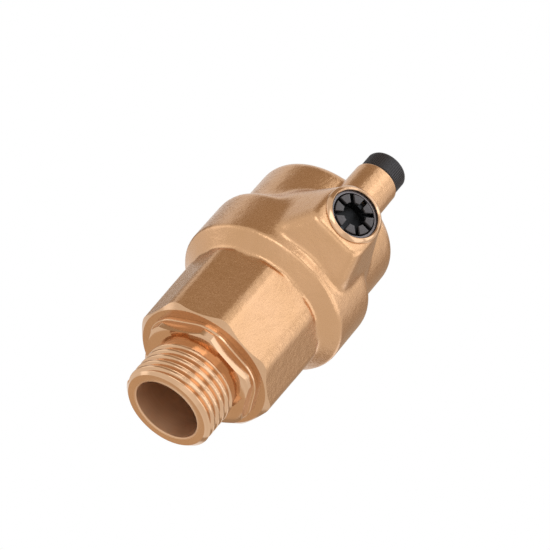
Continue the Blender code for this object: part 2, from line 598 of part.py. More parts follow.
def make_lever(steel, rubber):
    """The bell-crank lever and its pad, drawn shut and turned open on the pin's axis."""
    lever_pivot = pivot("lever_pivot", PIN_PLACE @ Matrix.Rotation(-OPEN_ANGLE, 4, "X"))
    hub = rod(HUB_R, -HUB_HALF_LENGTH, HUB_HALF_LENGTH, 24)
    hub.transform(ALONG_X)
    lever = piece("lever", hub, steel, lever_pivot)
    plate_face = PIN_OFFSET - LEVER_PLATE_FACE
    plate = block((-LEVER_PLATE_HALF_WIDTH, plate_face, 0),
                  (LEVER_PLATE_HALF_WIDTH, plate_face + SHEET, PIN_DROP + LEVER_PLATE_ABOVE_NOZZLE))
    combine(lever, "UNION", guide("lever_plate", plate, lever_pivot))
    arm_end = PIN_OFFSET + LEVER_ARM_BEYOND_LINK
    arm = block((-LEVER_ARM_HALF_WIDTH, 0, -SHEET / 2), (LEVER_ARM_HALF_WIDTH, arm_end, SHEET / 2))
    combine(lever, "UNION", guide("lever_arm", arm, lever_pivot))
    pin_hole = rod(PIN_R + GAP, -2 * HUB_HALF_LENGTH, 2 * HUB_HALF_LENGTH, 20)
    combine(lever, "DIFFERENCE", guide("lever_pin_hole", pin_hole, lever_pivot, ALONG_X))
    slot = block((-LEVER_SLOT_HALF_WIDTH, PIN_OFFSET - LINK_R - LEVER_SLOT_PLAY, -SHEET),
                 (LEVER_SLOT_HALF_WIDTH, PIN_OFFSET / math.cos(OPEN_ANGLE) + LINK_R + LEVER_SLOT_PLAY, SHEET))
    combine(lever, "DIFFERENCE", guide("lever_link_slot", slot, lever_pivot))
    pad_axis = Matrix.Translation((0, PIN_OFFSET, PIN_DROP)) @ PORT_TURN
    stem_hole = rod(SHUTTER_STEM_R + GAP, 0, 2 * LEVER_PLATE_FACE, 20)
    combine(lever, "DIFFERENCE", guide("lever_pad_hole", stem_hole, lever_pivot, pad_axis))
    pad_back = SHUTTER_FACE - SHUTTER_THICKNESS
    stem_end = LEVER_PLATE_FACE - SHEET - GAP
    button_end = stem_end - SHUTTER_BUTTON_THICKNESS
    pad = turned([(0, button_end), (SHUTTER_BUTTON_R, button_end), (SHUTTER_BUTTON_R, stem_end),
                  (SHUTTER_STEM_R, stem_end), (SHUTTER_STEM_R, pad_back), (SHUTTER_R, pad_back),
                  (SHUTTER_R, SHUTTER_FACE), (0, SHUTTER_FACE)], SMALL_STEPS)
    piece("shutter_pad", pad, rubber, lever_pivot, pad_axis)


def make_spring(steel):
    """The coil spring that lifts the lever when the float's weight comes off it."""
    low = SHELF_TOP + GAP + SPRING_WIRE_R
    reach = PIN_OFFSET - SPRING_OFFSET + SPRING_R
    arm_low = PIN_Z - reach * math.tan(OPEN_ANGLE) - SHEET / 2 / math.cos(OPEN_ANGLE)
    high = arm_low - GAP - SPRING_WIRE_R
    curve = bpy.data.curves.new("lever_spring", "CURVE")
    curve.dimensions = "3D"
    curve.bevel_depth = SPRING_WIRE_R
    curve.bevel_resolution = 1
    curve.use_fill_caps = True
    line = curve.splines.new("POLY")
    count = round(SPRING_TURNS * SPRING_POINTS_PER_TURN)
    line.points.add(count)
    for index in range(count + 1):
        angle = math.tau * index / SPRING_POINTS_PER_TURN
        height = low + (high - low) * index / count
        line.points[index].co = (SPRING_R * math.cos(angle), SPRING_R * math.sin(angle) - SPRING_OFFSET, height, 1)
    made = bpy.data.objects.new("lever_spring", curve)
    made.data.materials.append(steel)
    bpy.context.collection.objects.link(made)
    return made


def make_float(plastic, steel):
    """The float's shell and its welded base, and the link that hangs it from the lever."""
    float_pivot = pivot("float_slide", Matrix.Translation((0, 0, FLOAT_LOW)))
    shell_low = FLOAT_BASE_THICKNESS + GAP
    socket_r = LINK_STUD_R + GAP
    boss_top = FLOAT_HEIGHT + FLOAT_BOSS_HEIGHT
    inner_r = FLOAT_R - FLOAT_WALL
    roof = FLOAT_HEIGHT - FLOAT_WALL
    shell = turned([(0, roof), (inner_r, roof), (inner_r, shell_low), (FLOAT_R, shell_low),
                    (FLOAT_R, FLOAT_HEIGHT - FLOAT_WALL / 2), (FLOAT_R - FLOAT_WALL / 2, FLOAT_HEIGHT),
                    (FLOAT_BOSS_R, FLOAT_HEIGHT), (FLOAT_BOSS_R, boss_top), (socket_r, boss_top),
                    (socket_r, boss_top - FLOAT_SOCKET_DEPTH), (0, boss_top - FLOAT_SOCKET_DEPTH)], 32)
    piece("float_shell", shell, plastic, float_pivot)
    spigot_r = inner_r - GAP
    spigot_high = shell_low + FLOAT_SPIGOT_LENGTH
    base = turned([(0, 0), (FLOAT_R, 0), (FLOAT_R, FLOAT_BASE_THICKNESS), (spigot_r, FLOAT_BASE_THICKNESS),
                   (spigot_r, spigot_high), (spigot_r - FLOAT_WALL, spigot_high),
                   (spigot_r - FLOAT_WALL, FLOAT_BASE_THICKNESS), (0, FLOAT_BASE_THICKNESS)], 32)
    piece("float_base", base, plastic, float_pivot)
    arm_middle = PIN_Z - PIN_OFFSET * math.tan(OPEN_ANGLE) - FLOAT_LOW
    arm_rise = LINK_DISC_R * math.tan(OPEN_ANGLE) + SHEET / 2 / math.cos(OPEN_ANGLE)
    head_low = arm_middle + arm_rise + GAP
    shoulder_high = arm_middle - arm_rise - GAP
    stud_low = boss_top - FLOAT_SOCKET_DEPTH + GAP
    link = turned([(0, stud_low), (LINK_STUD_R, stud_low), (LINK_STUD_R, shoulder_high - LINK_DISC_THICKNESS),
                   (LINK_DISC_R, shoulder_high - LINK_DISC_THICKNESS), (LINK_DISC_R, shoulder_high),
                   (LINK_R, shoulder_high), (LINK_R, head_low), (LINK_DISC_R, head_low),
                   (LINK_DISC_R, head_low + LINK_DISC_THICKNESS), (0, head_low + LINK_DISC_THICKNESS)], 20)
    piece("float_link", link, steel, float_pivot)


def make_plug(plastic, rubber, steel):
    """The castellated plug that shuts the port, its seal, and the snap ring in front of it."""
    body_low = CAVITY_TOP + GAP
    body_high = body_low + PLUG_BODY_LENGTH
    face = PORT_FACE - PLUG_FACE_SETBACK
    body_r = PORT_BORE_R - GAP
    groove_r = body_r - 2 * PLUG_SEAL_CORD - GAP
    groove_middle = (body_low + body_high) / 2
    groove_half = PLUG_SEAL_CORD + GAP
    plug = piece("port_plug", turned([(0, body_low), (body_r, body_low), (body_r, groove_middle - groove_half),
                                      (groove_r, groove_middle - groove_half),
                                      (groove_r, groove_middle + groove_half),
                                      (body_r, groove_middle + groove_half), (body_r, body_high),
                                      (PLUG_FACE_R, body_high), (PLUG_FACE_R, face), (0, face)], 32),
                 plastic, matrix=PORT_PLACE)
    hub = rod(PLUG_HUB_R, face - PLUG_HUB_DEPTH, face + OVERCUT)
    combine(plug, "DIFFERENCE", guide("plug_hub", hub, matrix=PORT_PLACE))
    for index in range(PLUG_SLOTS // 2):
        slot = block((-2 * PLUG_FACE_R, -PLUG_SLOT_WIDTH / 2, face - PLUG_SLOT_DEPTH),
                     (2 * PLUG_FACE_R, PLUG_SLOT_WIDTH / 2, face + OVERCUT))
        turn = PORT_PLACE @ Matrix.Rotation(math.tau * (index + 0.5) / PLUG_SLOTS, 4, "Z")
        combine(plug, "DIFFERENCE", guide(f"plug_slot_{index}", slot, matrix=turn))
    seal = torus(body_r - PLUG_SEAL_CORD, PLUG_SEAL_CORD, groove_middle, 32, 6)
    piece("plug_seal", seal, rubber, matrix=PORT_PLACE)
    ring_low = body_high + GAP
    ring = tube(RING_INNER_R, RING_GROOVE_R - GAP, ring_low, ring_low + RING_THICKNESS, 36)
    plug_ring = piece("plug_ring", ring, steel, matrix=PORT_PLACE)
    opening = block((0, -RING_OPENING / 2, ring_low - OVERCUT), (2 * PORT_BORE_R, RING_OPENING / 2, PORT_FACE))
    combine(plug_ring, "DIFFERENCE", guide("ring_opening", opening, matrix=PORT_PLACE))


def make_cap(plastic, rubber):
    """The knurled vent cap and the flat gasket under its roof, on the vent post's axis."""
    cap_axis = pivot("cap_axis", Matrix.Translation((0, -POST_OFFSET, CAP_LOW)))
    bm = bmesh.new()
    bmesh.ops.create_circle(bm, cap_ends=True, radius=CAP_R, segments=2 * CAP_RIBS)
    for index, vert in enumerate(bm.verts):
        if index % 2:
            vert.co *= (CAP_R - CAP_RIB_DEPTH) / CAP_R
    floor = list(bm.faces)
    walls = bmesh.ops.extrude_face_region(bm, geom=floor)
    rim = [item for item in walls["geom"] if isinstance(item, bmesh.types.BMVert)]
    bmesh.ops.translate(bm, vec=(0, 0, CAP_LENGTH - CAP_EDGE), verts=rim)
    roof = [item for item in walls["geom"] if isinstance(item, bmesh.types.BMFace)]
    crown = bmesh.ops.extrude_face_region(bm, geom=roof)
    bmesh.ops.delete(bm, geom=roof, context="FACES_ONLY")
    for item in crown["geom"]:
        if isinstance(item, bmesh.types.BMVert):
            radius = item.co.xy.length
            item.co.xy *= (CAP_R - CAP_EDGE) / radius
            item.co.z += CAP_EDGE
    bmesh.ops.recalc_face_normals(bm, faces=bm.faces)
    cap = piece("vent_cap", bm, plastic, cap_axis, sharp=20)
    bore = rod(NIPPLE_R + GAP, -OVERCUT, CAP_CEILING - CAP_LOW, 32)
    combine(cap, "DIFFERENCE", guide("cap_bore", bore, cap_axis))
    gasket_low = NIPPLE_TOP + GAP - CAP_LOW
    gasket = rod(NIPPLE_R, gasket_low, gasket_low + CAP_GASKET_THICKNESS, 28)
    piece("cap_gasket", gasket, rubber, cap_axis)


def main():
    clear_scene()
    cast_brass = material("cast_brass", (0.60, 0.36, 0.17), 0.42, 1.0)
    turned_brass = material("turned_brass", (0.78, 0.50, 0.20), 0.22, 1.0)
    steel = material("stainless_steel", (0.62, 0.61, 0.59), 0.30, 1.0)
    dark_steel = material("dark_spring_steel", (0.06, 0.05, 0.05), 0.40, 1.0)
    black_plastic = material("black_nylon", (0.05, 0.045, 0.042), 0.45)
    pale_plastic = material("pale_polypropylene", (0.75, 0.74, 0.70), 0.50)
    rubber = material("black_rubber", (0.02, 0.02, 0.02), 0.70)
    make_housing(cast_brass)
    make_connector(turned_brass)
    make_connector_seal(rubber)
    make_nozzle(turned_brass, rubber)
    make_bracket(steel)
    make_pin(steel)
    make_lever(steel, rubber)
    make_spring(steel)
    make_float(pale_plastic, steel)
    make_plug(black_plastic, rubber, dark_steel)
    make_cap(black_plastic, rubber)


main()
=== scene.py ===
"""The looks of an automatic air release valve: a cast brass float housing on a turned, threaded inlet."""
import math

import bmesh
import bpy
from mathutils import Matrix, Vector


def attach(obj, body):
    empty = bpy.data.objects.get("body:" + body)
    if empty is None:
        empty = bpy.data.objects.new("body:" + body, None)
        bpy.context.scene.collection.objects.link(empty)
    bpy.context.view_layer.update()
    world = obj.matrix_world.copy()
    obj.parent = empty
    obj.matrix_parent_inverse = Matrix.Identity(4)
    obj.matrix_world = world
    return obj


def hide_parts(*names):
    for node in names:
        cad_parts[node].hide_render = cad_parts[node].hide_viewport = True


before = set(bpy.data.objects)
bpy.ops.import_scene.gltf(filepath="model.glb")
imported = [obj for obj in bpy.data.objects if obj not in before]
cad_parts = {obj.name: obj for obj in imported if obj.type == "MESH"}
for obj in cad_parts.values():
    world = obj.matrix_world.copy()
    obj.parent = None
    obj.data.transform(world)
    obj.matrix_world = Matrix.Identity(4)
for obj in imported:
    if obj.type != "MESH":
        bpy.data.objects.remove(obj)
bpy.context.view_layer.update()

# Shapes are built in millimetres and scaled by MM; lamps, boards and the camera's clipping are in metres.
MM = 0.001

# The steps of a full turn on the shapes that show.
STEPS = 128

# Heights on the main axis, and distances of the port's parts from it.
HOUSING_LOW = 14.5
SKIRT_TOP = 34.5
BULGE_LOW = 37.8
BULGE_HIGH = 48.8
SHOULDER = 51.0
DOME_TOP = 66.0
PORT_Z = 51.6
PORT_FACE = 27.1
PAD_FACE = 25.8
POST_OFFSET = 18.4
POST_TOP = 68.2
NIPPLE_TOP = 70.9
CAP_LOW = 68.5
CAP_TOP = 73.1
HEX_LOW = 11.2
HEX_HIGH = 14.2
CONNECTOR_TOP = 20.5

# Radii, the octagonal skirt's widths across flats and its first flat's direction, and the thread.
BULGE_R = 19.95
DOME_R = 17.05
SKIRT_SIDES = 8
SKIRT_LOW_FLATS = 31.3
SKIRT_HIGH_FLATS = 31.9
SKIRT_CORNER_R = SKIRT_HIGH_FLATS / 2 / math.cos(math.pi / SKIRT_SIDES)
SKIRT_TURN = math.radians(6.0)
PAD_R = 6.9
PAD_BELOW_AXIS = 8.0
COLLAR_R = 6.65
THREAD_R = 10.478
THREAD_PITCH = 1.814
THREAD_DEPTH = 0.9

PORT_TURN = Matrix.Rotation(math.radians(90), 4, "X")
PORT_PLACE = Matrix.Translation((0, 0, PORT_Z)) @ PORT_TURN
POST_PLACE = Matrix.Translation((0, -POST_OFFSET, 0))

# The colour sockets of a Mix node, which has sockets of the same names for every kind of data.
MIX_A = 6
MIX_B = 7
MIX_OUT = 2


def srgb(code):
    """A written colour such as C08040 as the linear colour that the shader takes."""
    parts = [int(code[index:index + 2], 16) / 255 for index in (0, 2, 4)]
    linear = [part / 12.92 if part <= 0.04045 else ((part + 0.055) / 1.055) ** 2.4 for part in parts]
    return linear + [1.0]


def arc(centre_r, centre_z, radius, start, end, steps=6):
    """Points of a rounding in a turned outline, by angles in degrees."""
    points = []
    for index in range(steps + 1):
        angle = math.radians(start + (end - start) * index / steps)
        points.append((centre_r + radius * math.cos(angle), centre_z + radius * math.sin(angle)))
    return points


def turned(profile, steps=96, closed=False):
    """A closed solid turned about Z from an outline of (radius, height) points."""
    bm = bmesh.new()
    verts = [bm.verts.new((radius, 0, height)) for radius, height in profile]
    edges = [bm.edges.new(pair) for pair in zip(verts, verts[1:])]
    if closed:
        edges.append(bm.edges.new((verts[-1], verts[0])))
    bmesh.ops.spin(bm, geom=verts + edges, cent=(0, 0, 0), axis=(0, 0, 1), angle=math.tau, steps=steps,
                   use_merge=True, use_duplicate=False)
    on_axis = 1e-4
    bmesh.ops.remove_doubles(bm, verts=bm.verts, dist=on_axis)
    bmesh.ops.recalc_face_normals(bm, faces=bm.faces)
    return bm


def block(low, high):
    """A plain block between two corners."""
    bm = bmesh.new()
    bmesh.ops.create_cube(bm, size=1)
    size = [high[axis] - low[axis] for axis in range(3)]
    bmesh.ops.scale(bm, verts=bm.verts, vec=size)
    bmesh.ops.translate(bm, verts=bm.verts, vec=[(high[axis] + low[axis]) / 2 for axis in range(3)])
    return bm


def prism(sides, across_flats, low, high, turn, top_across_flats=None):
    """An upright prism, its first flat facing the azimuth turn, that may widen towards the top."""
    bm = bmesh.new()
    radius = across_flats / 2 / math.cos(math.pi / sides)
    top_radius = (top_across_flats or across_flats) / 2 / math.cos(math.pi / sides)
    bmesh.ops.create_cone(bm, cap_ends=True, segments=sides, radius1=radius, radius2=top_radius,
                          depth=high - low)
    bmesh.ops.translate(bm, verts=bm.verts, vec=(0, 0, (high + low) / 2))
    first = min(bm.faces, key=lambda face: abs(face.normal.z) + abs(face.normal.y) - face.normal.x)
    azimuth = math.atan2(first.normal.y, first.normal.x)
    bmesh.ops.rotate(bm, verts=bm.verts, cent=(0, 0, 0), matrix=Matrix.Rotation(turn - azimuth, 3, "Z"))
    return bm


def round_edges(bm, edges, radius, segments):
    """Rounds edges to a radius."""
    bmesh.ops.bevel(bm, geom=edges, offset=radius, offset_type="OFFSET", segments=segments, profile=0.5,
                    affect="EDGES", material=-1, clamp_overlap=True)


def upright_edges(bm, least):
    """The edges that rise by more than the given height."""
    return [edge for edge in bm.edges if abs(edge.verts[0].co.z - edge.verts[1].co.z) > least]


def temporary(bm, matrix=Matrix()):
    """An unfinished shape as an object in millimetres."""
    bm.transform(matrix)
    mesh = bpy.data.meshes.new("unfinished")
    bm.to_mesh(mesh)
    bm.free()
    shape = bpy.data.objects.new("unfinished", mesh)
    bpy.context.collection.objects.link(shape)
    return shape


def settle(shape):
    """Applies a shape's modifiers."""
    graph = bpy.context.evaluated_depsgraph_get()
    mesh = bpy.data.meshes.new_from_object(shape.evaluated_get(graph))
    shape.modifiers.clear()
    old = shape.data
    shape.data = mesh
    bpy.data.meshes.remove(old)


def combine(shape, operation, tool):
    """Adds, removes or intersects a second shape, and deletes it."""
    change = shape.modifiers.new("combine", "BOOLEAN")
    change.operation = operation
    change.solver = "EXACT"
    change.object = tool
    settle(shape)
    bpy.data.objects.remove(tool)


def clean(shape):
    """Merges the nearly equal points that the booleans and the bevel leave."""
    nearly_equal = 0.001
    bm = bmesh.new()
    bm.from_mesh(shape.data)
    bmesh.ops.remove_doubles(bm, verts=bm.verts, dist=nearly_equal)
    bmesh.ops.dissolve_degenerate(bm, edges=bm.edges, dist=nearly_equal)
    bm.to_mesh(shape.data)
    bm.free()


def put(name, shape, look, body, replaces, sharp=30.0):
    """Finishes a shape as a piece in metres, with its material, its body and the node it stands for."""
    mesh = shape.data
    mesh.name = name
    shape.name = name
    mesh.transform(Matrix.Scale(MM, 4))
    mesh.materials.clear()
    mesh.materials.append(look)
    mesh.shade_smooth()
    mesh.set_sharp_from_angle(angle=math.radians(sharp))
    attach(shape, body)
    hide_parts(replaces)
    return shape


def add(tree, kind, links=(), **settings):
    """Adds a node, sets its properties and its sockets' values, and links sockets to it."""
    node = tree.nodes.new(kind)
    for key, value in settings.items():
        if hasattr(node, key):
            setattr(node, key, value)
        else:
            node.inputs[key.replace("_", " ")].default_value = value
    for socket, source in links:
        tree.links.new(source, node.inputs[socket])
    return node


def finish(name, colour, metallic, roughness):
    """A new material with its shader's plain values, and the object's own coordinates."""
    look = bpy.data.materials.new(name)
    look.use_nodes = True
    tree = look.node_tree
    shader = tree.nodes["Principled BSDF"]
    shader.inputs["Base Color"].default_value = srgb(colour)
    shader.inputs["Metallic"].default_value = metallic
    shader.inputs["Roughness"].default_value = roughness
    where = add(tree, "ShaderNodeTexCoord").outputs["Object"]
    return look, tree, shader, where


def per_metre(size_mm):
    """The scale of a noise whose features are of the given size."""
    return 1 / (size_mm * MM)


def make_cast_brass():
    """Cast brass, shot-blasted and tumbled: satin, with a fine pebbled skin that sparkles in low light."""
    look, tree, shader, where = finish("cast_brass_blasted", "C6996F", 1.0, 0.28)
    tone = add(tree, "ShaderNodeTexNoise", [("Vector", where)], Scale=per_metre(6.0), Detail=3.0)
    tint = add(tree, "ShaderNodeMix", [(0, tone.outputs[0])], data_type="RGBA")
    tint.inputs[MIX_A].default_value = srgb("C19468")
    tint.inputs[MIX_B].default_value = srgb("CB9E76")
    tree.links.new(tint.outputs[MIX_OUT], shader.inputs["Base Color"])
    # The thin coat gives the eye the brighter sheen of the skin's rubbed tops.
    shader.inputs["Coat Weight"].default_value = 0.25
    shader.inputs["Coat Roughness"].default_value = 0.3
    # The shot's dents are about 0.15 mm wide, too fine to show, so they are drawn coarser.
    skin = add(tree, "ShaderNodeTexNoise", [("Vector", where)], Scale=per_metre(0.42), Detail=2.0,
               Roughness=0.6)
    pits = add(tree, "ShaderNodeTexVoronoi", [("Vector", where)], Scale=per_metre(0.6), Randomness=1.0)
    wave = add(tree, "ShaderNodeTexNoise", [("Vector", where)], Scale=per_metre(1.7), Detail=1.0)
    coarse = add(tree, "ShaderNodeBump", [("Height", wave.outputs[0])], Strength=0.38, Distance=0.2 * MM)
    fine = add(tree, "ShaderNodeBump", [("Height", skin.outputs[0]), ("Normal", coarse.outputs[0])],
               Strength=0.55, Distance=0.06 * MM)
    dents = add(tree, "ShaderNodeBump", [("Height", pits.outputs[0]), ("Normal", fine.outputs[0])],
                Strength=0.35, Distance=0.04 * MM)
    tree.links.new(dents.outputs[0], shader.inputs["Normal"])
    rough = add(tree, "ShaderNodeMapRange", [("Value", skin.outputs[0])], From_Min=0.3, From_Max=0.7,
                To_Min=0.22, To_Max=0.34)
    tree.links.new(rough.outputs[0], shader.inputs["Roughness"])
    return look


def make_machined_brass():
    """The casting's own brass where a tool has cut it: the same colour, but bright, with a fine grain."""
    look, tree, shader, where = finish("cast_brass_machined", "C9A17D", 1.0, 0.16)
    # The tool's grooves are about 0.1 mm apart, too fine to show, so their grain is drawn coarser.
    grain = add(tree, "ShaderNodeTexNoise", [("Vector", where)], Scale=per_metre(0.35), Detail=2.0)
    tint = add(tree, "ShaderNodeMix", [(0, grain.outputs[0])], data_type="RGBA")
    tint.inputs[MIX_A].default_value = srgb("C39A76")
    tint.inputs[MIX_B].default_value = srgb("CFA884")
    tree.links.new(tint.outputs[MIX_OUT], shader.inputs["Base Color"])
    marks = add(tree, "ShaderNodeBump", [("Height", grain.outputs[0])], Strength=0.2, Distance=0.02 * MM)
    tree.links.new(marks.outputs[0], shader.inputs["Normal"])
    return look


def make_turned_brass():
    """Bar brass, turned: bright, with tool lines that draw the gloss out, and a duller drilled bore."""
    look, tree, shader, where = finish("turned_brass", "D0A884", 1.0, 0.13)
    stretch = add(tree, "ShaderNodeMapping", [("Vector", where)])
    stretch.inputs["Scale"].default_value = (0.03, 0.03, 1.0)
    # Tool lines are about 0.1 mm apart, too fine to show, so they are drawn coarser.
    lines = add(tree, "ShaderNodeTexNoise", [("Vector", stretch.outputs[0])], Scale=per_metre(0.3),
                Detail=3.0)
    grain = add(tree, "ShaderNodeTexNoise", [("Vector", where)], Scale=per_metre(0.5), Detail=2.0)
    marks = add(tree, "ShaderNodeBump", [("Height", lines.outputs[0])], Strength=0.3, Distance=0.02 * MM)
    skin = add(tree, "ShaderNodeBump", [("Height", grain.outputs[0]), ("Normal", marks.outputs[0])],
               Strength=0.2, Distance=0.02 * MM)
    tree.links.new(skin.outputs[0], shader.inputs["Normal"])
    tint = add(tree, "ShaderNodeMix", [(0, lines.outputs[0])], data_type="RGBA")
    tint.inputs[MIX_A].default_value = srgb("C89F7A")
    tint.inputs[MIX_B].default_value = srgb("D8B18E")
    tree.links.new(tint.outputs[MIX_OUT], shader.inputs["Base Color"])
    flat = add(tree, "ShaderNodeVectorMath", [(0, where)], operation="MULTIPLY")
    flat.inputs[1].default_value = (1.0, 1.0, 0.0)
    out = add(tree, "ShaderNodeVectorMath", [(0, flat.outputs[0])], operation="LENGTH")
    # The drilled wall lies 7.55 mm from the axis, and the turned faces begin at 7.95 mm.
    gloss = add(tree, "ShaderNodeMapRange", [("Value", out.outputs["Value"])], From_Min=7.7 * MM,
                From_Max=8.2 * MM, To_Min=0.46, To_Max=0.13)
    tree.links.new(gloss.outputs[0], shader.inputs["Roughness"])
    return look


def make_steel():
    """Stainless steel strip and wire, stamped and coiled: grey satin with faint rolling lines."""
    look, tree, shader, where = finish("stainless_steel_satin", "C9C7C2", 1.0, 0.32)
    stretch = add(tree, "ShaderNodeMapping", [("Vector", where)])
    stretch.inputs["Scale"].default_value = (1.0, 1.0, 0.08)
    # Rolling lines are hundredths of a millimetre wide, too fine to show, so they are drawn coarser.
    lines = add(tree, "ShaderNodeTexNoise", [("Vector", stretch.outputs[0])], Scale=per_metre(0.25),
                Detail=2.0)
    marks = add(tree, "ShaderNodeBump", [("Height", lines.outputs[0])], Strength=0.3, Distance=0.02 * MM)
    rough = add(tree, "ShaderNodeMapRange", [("Value", lines.outputs[0])], To_Min=0.24, To_Max=0.42)
    tree.links.new(marks.outputs[0], shader.inputs["Normal"])
    tree.links.new(rough.outputs[0], shader.inputs["Roughness"])
    return look


def make_dark_steel():
    """Spring steel, phosphated and oiled: a dark grey ring with a dull gloss."""
    look, tree, shader, where = finish("phosphated_spring_steel", "6B6462", 0.9, 0.42)
    # Phosphate crystals are about 0.01 mm long, too fine to show, so they are drawn coarser.
    salt = add(tree, "ShaderNodeTexNoise", [("Vector", where)], Scale=per_metre(0.15), Detail=2.0)
    tint = add(tree, "ShaderNodeMix", [(0, salt.outputs[0])], data_type="RGBA")
    tint.inputs[MIX_A].default_value = srgb("565050")
    tint.inputs[MIX_B].default_value = srgb("7E7775")
    tree.links.new(tint.outputs[MIX_OUT], shader.inputs["Base Color"])
    skin = add(tree, "ShaderNodeBump", [("Height", salt.outputs[0])], Strength=0.3, Distance=0.01 * MM)
    tree.links.new(skin.outputs[0], shader.inputs["Normal"])
    return look


def make_cap_plastic():
    """Glass-filled nylon, moulded: near black and matt, faintly mottled where the filler shows."""
    look, tree, shader, where = finish("nylon_moulded_matt", "211916", 0.0, 0.52)
    # The filler's fibres are about 0.01 mm thick, too fine to show, so the mottle is drawn coarser.
    filler = add(tree, "ShaderNodeTexNoise", [("Vector", where)], Scale=per_metre(0.35), Detail=3.0)
    tint = add(tree, "ShaderNodeMix", [(0, filler.outputs[0])], data_type="RGBA")
    tint.inputs[MIX_A].default_value = srgb("1A1310")
    tint.inputs[MIX_B].default_value = srgb("291F1B")
    tree.links.new(tint.outputs[MIX_OUT], shader.inputs["Base Color"])
    skin = add(tree, "ShaderNodeBump", [("Height", filler.outputs[0])], Strength=0.3, Distance=0.02 * MM)
    tree.links.new(skin.outputs[0], shader.inputs["Normal"])
    return look


def make_plug_plastic():
    """The plug's nylon: grey on the raised pads, and black in the recess as painted shade."""
    look, tree, shader, where = finish("nylon_moulded_recess_shade_painted", "4A4646", 0.0, 0.4)
    shader.inputs["Specular IOR Level"].default_value = 0.3
    # The filler's fibres are about 0.01 mm thick, too fine to show, so the mottle is drawn coarser.
    filler = add(tree, "ShaderNodeTexNoise", [("Vector", where)], Scale=per_metre(0.35), Detail=3.0)
    pad_grey = add(tree, "ShaderNodeMix", [(0, filler.outputs[0])], data_type="RGBA")
    pad_grey.inputs[MIX_A].default_value = srgb("3E3836")
    pad_grey.inputs[MIX_B].default_value = srgb("58514E")
    axes = add(tree, "ShaderNodeSeparateXYZ", [("Vector", where)])
    # The pads' faces lie 26.5 mm from the main axis; deeper in, the recess is painted black as its shade.
    depth = add(tree, "ShaderNodeMapRange", [("Value", axes.outputs["Y"])], From_Min=-26.4 * MM,
                From_Max=-25.8 * MM)
    tint = add(tree, "ShaderNodeMix", [(0, depth.outputs[0]), (MIX_A, pad_grey.outputs[MIX_OUT])],
               data_type="RGBA")
    tint.inputs[MIX_B].default_value = srgb("0B0A0A")
    tree.links.new(tint.outputs[MIX_OUT], shader.inputs["Base Color"])
    skin = add(tree, "ShaderNodeBump", [("Height", filler.outputs[0])], Strength=0.3, Distance=0.02 * MM)
    tree.links.new(skin.outputs[0], shader.inputs["Normal"])
    return look


def make_pale_plastic():
    """Polypropylene, moulded: milky white, a little waxy, as floats are."""
    look, tree, shader, where = finish("polypropylene_moulded", "E4E0D4", 0.0, 0.38)
    shader.inputs["Subsurface Weight"].default_value = 0.15
    shader.inputs["Subsurface Radius"].default_value = (2.0 * MM, 2.0 * MM, 1.5 * MM)
    flow = add(tree, "ShaderNodeTexNoise", [("Vector", where)], Scale=per_metre(5.0), Detail=2.0)
    tint = add(tree, "ShaderNodeMix", [(0, flow.outputs[0])], data_type="RGBA")
    tint.inputs[MIX_A].default_value = srgb("DCD7C9")
    tint.inputs[MIX_B].default_value = srgb("ECE9DE")
    tree.links.new(tint.outputs[MIX_OUT], shader.inputs["Base Color"])
    skin = add(tree, "ShaderNodeBump", [("Height", flow.outputs[0])], Strength=0.2, Distance=0.05 * MM)
    tree.links.new(skin.outputs[0], shader.inputs["Normal"])
    return look


def make_rubber():
    """EPDM, moulded: dull black, with the dust-like bloom that such seals get."""
    look, tree, shader, where = finish("epdm_rubber", "1E1D1C", 0.0, 0.68)
    bloom = add(tree, "ShaderNodeTexNoise", [("Vector", where)], Scale=per_metre(0.8), Detail=4.0)
    tint = add(tree, "ShaderNodeMix", [(0, bloom.outputs[0])], data_type="RGBA")
    tint.inputs[MIX_A].default_value = srgb("181716")
    tint.inputs[MIX_B].default_value = srgb("2A2927")
    tree.links.new(tint.outputs[MIX_OUT], shader.inputs["Base Color"])
    skin = add(tree, "ShaderNodeBump", [("Height", bloom.outputs[0])], Strength=0.3, Distance=0.03 * MM)
    tree.links.new(skin.outputs[0], shader.inputs["Normal"])
    return look


def port_pad():
    """The pad round the port: round above, square below, with flanks that widen towards the body."""
    top_slope = 0.12
    side_slope = 0.45
    lower_slope = 0.62
    lower_reach = 5.4
    squareness = 8
    rounding = 0.7
    steps = 64
    straight_from = PAD_FACE + 0.3 - rounding
    # The sections of the flanks, from the front into the body.
    heights = (22, straight_from - lower_reach, 16, 13, 10)
    bm = bmesh.new()
    bmesh.ops.create_circle(bm, cap_ends=True, segments=steps, radius=PAD_R)
    for vert in bm.verts:
        if vert.co.y < 0:
            reach = abs(vert.co.x) ** squareness + abs(vert.co.y) ** squareness
            vert.co *= PAD_R / reach ** (1 / squareness)
            vert.co.y *= PAD_BELOW_AXIS / PAD_R
    rounded = arc(PAD_R - rounding, straight_from, rounding, 90, 0, 4)
    rings = [(height, radius - PAD_R) for radius, height in rounded]
    rings += [(height, 0) for height in heights]
    width, rise, drop = PAD_R, PAD_R, PAD_BELOW_AXIS
    face = bm.faces[:][0]
    for index, (height, inset) in enumerate(rings):
        if index:
            grown = bmesh.ops.extrude_face_region(bm, geom=[face])["geom"]
            face = [item for item in grown if isinstance(item, bmesh.types.BMFace)][0]
        depth = max(0, straight_from - height)
        new_width = PAD_R + inset + side_slope * depth
        new_rise = PAD_R + inset + top_slope * depth
        new_drop = PAD_BELOW_AXIS + inset + lower_slope * min(depth, lower_reach)
        for vert in face.verts:
            vert.co.x *= new_width / width
            vert.co.y *= new_drop / drop if vert.co.y < 0 else new_rise / rise
            vert.co.z = height
        width, rise, drop = new_width, new_rise, new_drop
    bmesh.ops.recalc_face_normals(bm, faces=bm.faces)
    return bm


